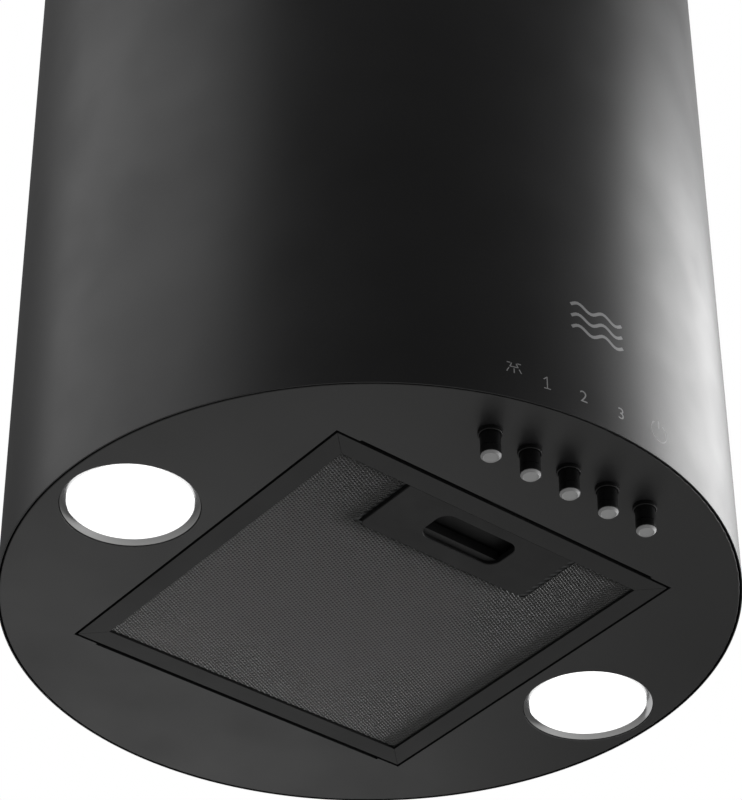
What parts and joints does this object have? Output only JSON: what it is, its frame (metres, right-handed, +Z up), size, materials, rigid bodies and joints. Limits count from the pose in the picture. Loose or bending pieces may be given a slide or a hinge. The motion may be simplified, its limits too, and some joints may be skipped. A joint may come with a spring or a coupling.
{
  "type": "island range hood",
  "caption": "Round cylinder range hood hung from a ceiling, with drop-down grease filter, push buttons, recessed lamps, blower and telescopic sleeve.",
  "frame": {"origin": "centre of the ceiling bolt circle, on the top face of the ceiling plate; the hood hangs below it", "axes": "+Z up towards the ceiling, the controls and the filter handle face -Y, +X to the right of a person facing the controls"},
  "size_m": [0.37, 0.3698, 0.915],
  "materials": {
    "black_steel": "satin black lacquer",
    "filter_black": "satin black",
    "zinc_steel": "zinc plated",
    "screw_steel": "zinc plated",
    "mesh_aluminium": "dark anodised",
    "handle_plastic": "fine matt",
    "spring_steel": "drawn wire",
    "button_black": "fine matt",
    "button_grey": "satin metallic grey",
    "moulded_black": "moulded",
    "blower_grey": "moulded",
    "circuit_board": "solder mask",
    "bezel_grey": "satin",
    "lens_white": "opal, lit",
    "cast_aluminium": "die cast",
    "core_steel": "laminated",
    "copper": "enamelled copper wire",
    "motor_casting": "die cast",
    "bearing_steel": "ground",
    "box_white": "moulded",
    "gland_grey": "moulded"
  },
  "bodies": {
    "ceiling": {"ceiling_plate": "zinc_steel", "upper_rails": "zinc_steel", "upper_sleeve": "black_steel", "sleeve_screws": "screw_steel"},
    "hood": {"bottom_plate": "black_steel", "cable_gland": "gland_grey", "capacitor": "motor_casting", "casing_clips": "zinc_steel", "control_board": "circuit_board", "control_housing": "moulded_black", "deck": "zinc_steel", "hood_screws": "screw_steel", "inlet_grilles": "blower_grey", "junction_box": "box_white", "junction_lid": "box_white", "lamp_1_bezel": "bezel_grey", "lamp_1_board": "circuit_board", "lamp_1_cup": "cast_aluminium", "lamp_1_lens": "lens_white", "lamp_2_bezel": "bezel_grey", "lamp_2_board": "circuit_board", "lamp_2_cup": "cast_aluminium", "lamp_2_lens": "lens_white", "lamp_driver": "box_white", "lower_rails": "zinc_steel", "motor_bearings": "bearing_steel", "motor_caps": "motor_casting", "motor_core": "core_steel", "motor_windings": "copper", "outer_casing": "black_steel", "outlet_collar": "moulded_black", "scroll_left": "moulded_black", "scroll_right": "moulded_black"},
    "rotor": {"impeller": "blower_grey", "motor_rotor": "core_steel", "motor_shaft": "bearing_steel"},
    "flap_rear": {"flap_rear": "moulded_black"},
    "flap_front": {"flap_front": "moulded_black"},
    "filter": {"filter_frame": "filter_black", "filter_face": "mesh_aluminium", "filter_core": "mesh_aluminium", "filter_back": "mesh_aluminium", "filter_handle": "handle_plastic"},
    "latch": {"latch_slide": "handle_plastic", "latch_springs": "spring_steel"},
    "button_1": {"button_1_stem": "button_black", "button_1_cap": "button_grey", "button_1_spring": "spring_steel"},
    "button_2": {"button_2_stem": "button_black", "button_2_cap": "button_grey", "button_2_spring": "spring_steel"},
    "button_3": {"button_3_stem": "button_black", "button_3_cap": "button_grey", "button_3_spring": "spring_steel"},
    "button_4": {"button_4_stem": "button_black", "button_4_cap": "button_grey", "button_4_spring": "spring_steel"},
    "button_5": {"button_5_stem": "button_black", "button_5_cap": "button_grey", "button_5_spring": "spring_steel"}
  },
  "joints": [
    {"name": "height_slide", "type": "slide", "parent": "ceiling", "child": "hood", "axis": [0, 0, 1], "range_m": [-0.09, 0.11]},
    {"name": "impeller_spin", "type": "hinge", "parent": "hood", "child": "rotor", "pos_m": [0, -0.05484, -0.735], "axis": [1, 0, 0], "continuous": true},
    {"name": "flap_rear_swing", "type": "hinge", "parent": "hood", "child": "flap_rear", "pos_m": [0, 0.0034, -0.5715], "axis": [1, 0, 0], "range_deg": [0, 80]},
    {"name": "flap_front_swing", "type": "hinge", "parent": "hood", "child": "flap_front", "pos_m": [0, -0.0034, -0.5715], "axis": [-1, 0, 0], "range_deg": [0, 80]},
    {"name": "filter_drop", "type": "hinge", "parent": "hood", "child": "filter", "pos_m": [0, 0.1039, -0.897], "axis": [1, 0, 0], "range_deg": [0, 70]},
    {"name": "latch_pull", "type": "slide", "parent": "filter", "child": "latch", "axis": [0, 1, 0], "range_m": [0, 0.005], "stiffness_N_per_m": 600, "springref_m": -0.004, "deforming": ["latch_springs"]},
    {"name": "button_1_press", "type": "slide", "parent": "hood", "child": "button_1", "axis": [0, 0, 1], "range_m": [0, 0.003], "stiffness_N_per_m": 500, "springref_m": -0.003, "deforming": ["button_1_spring"]},
    {"name": "button_2_press", "type": "slide", "parent": "hood", "child": "button_2", "axis": [0, 0, 1], "range_m": [0, 0.003], "stiffness_N_per_m": 500, "springref_m": -0.003, "deforming": ["button_2_spring"]},
    {"name": "button_3_press", "type": "slide", "parent": "hood", "child": "button_3", "axis": [0, 0, 1], "range_m": [0, 0.003], "stiffness_N_per_m": 500, "springref_m": -0.003, "deforming": ["button_3_spring"]},
    {"name": "button_4_press", "type": "slide", "parent": "hood", "child": "button_4", "axis": [0, 0, 1], "range_m": [0, 0.003], "stiffness_N_per_m": 500, "springref_m": -0.003, "deforming": ["button_4_spring"]},
    {"name": "button_5_press", "type": "slide", "parent": "hood", "child": "button_5", "axis": [0, 0, 1], "range_m": [0, 0.003], "stiffness_N_per_m": 500, "springref_m": -0.003, "deforming": ["button_5_spring"]}
  ]
}
